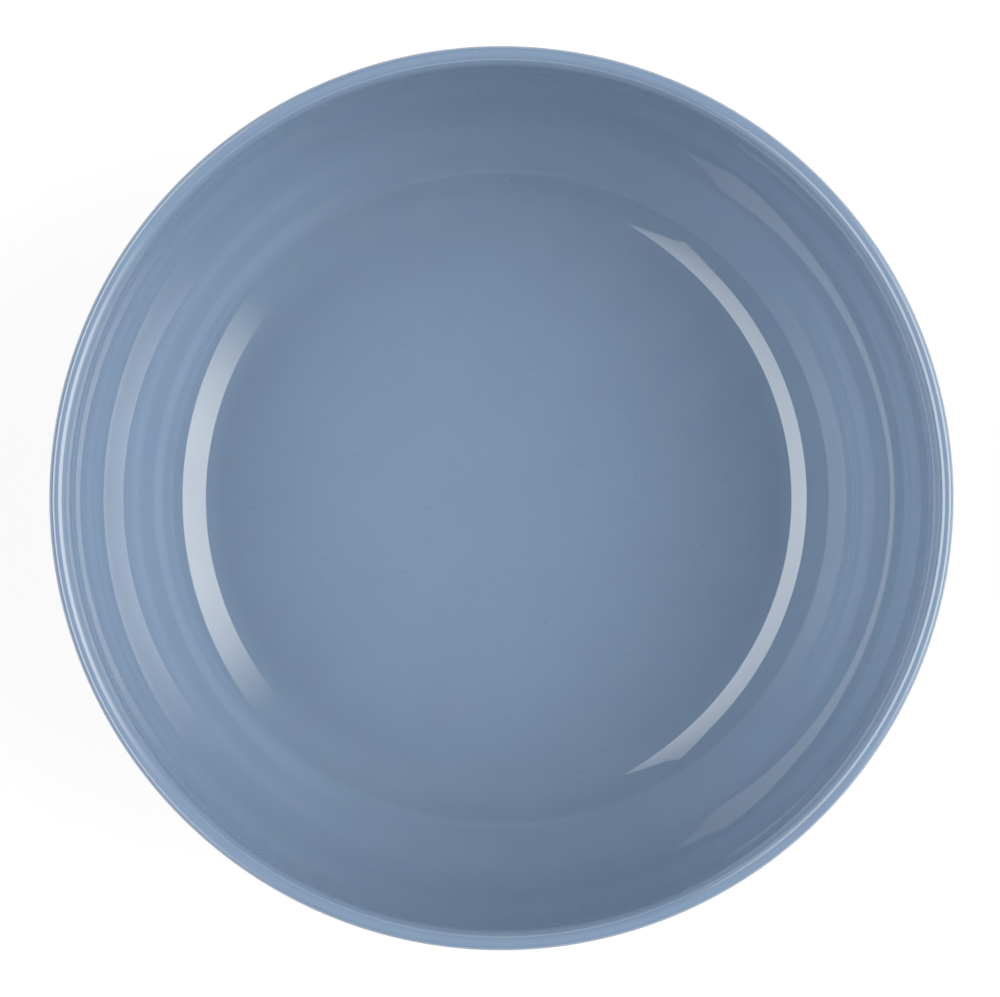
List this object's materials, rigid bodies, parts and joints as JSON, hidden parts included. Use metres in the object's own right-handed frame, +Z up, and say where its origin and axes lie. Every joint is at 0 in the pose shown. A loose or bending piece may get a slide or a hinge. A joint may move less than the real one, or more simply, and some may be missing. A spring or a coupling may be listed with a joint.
{
  "type": "serving bowl",
  "caption": "Round glossy slate-blue serving bowl with a flat floor, a rounded corner, a wall that curves up to nearly upright, a rounded lip and a soft non-slip ring under its foot.",
  "frame": {"origin": "on the bowl's axis, in the plane that the non-slip ring rests on", "axes": "+Z up along the bowl's axis, towards the lip; X and Y lie in the resting plane"},
  "size_m": [0.25, 0.25, 0.0795],
  "materials": {
    "glossy_shell": "moulded slate blue, high gloss, satin only in the recess under the foot",
    "soft_ring": "matt dark slate"
  },
  "bodies": {
    "root": {"bowl_shell": "glossy_shell", "non_slip_ring": "soft_ring"}
  },
  "joints": []
}
